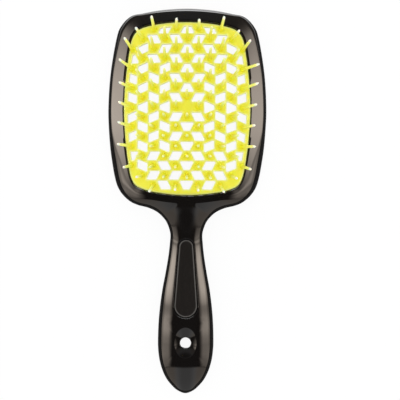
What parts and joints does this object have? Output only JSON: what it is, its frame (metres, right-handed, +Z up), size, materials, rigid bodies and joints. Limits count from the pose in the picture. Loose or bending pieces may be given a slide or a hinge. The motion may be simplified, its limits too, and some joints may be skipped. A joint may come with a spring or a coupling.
{
  "type": "detangling brush",
  "caption": "Vented hairbrush with an arched open head, a flexible pad of thin pins and a tapered handle with a hang hole, made to be drawn through wet or tangled hair.",
  "frame": {"origin": "middle of the brush's bounding box, on the surface that the brush rests on", "axes": "+Z up and out of the pins, with the brush lying on its back; +Y from the handle to the head; X across the head"},
  "size_m": [0.0896, 0.2142, 0.0361],
  "materials": {
    "front_shell": "polished black ABS",
    "back_shell": "polished black ABS",
    "vent_plate": "satin yellow nylon",
    "bristle_pins": "satin pale yellow nylon, slightly translucent",
    "handle_inlay": "matte black soft-touch"
  },
  "bodies": {
    "root": {"front_shell": "front_shell", "back_shell": "back_shell", "vent_plate": "vent_plate", "bristle_pins": "bristle_pins", "handle_inlay": "handle_inlay"}
  },
  "joints": []
}
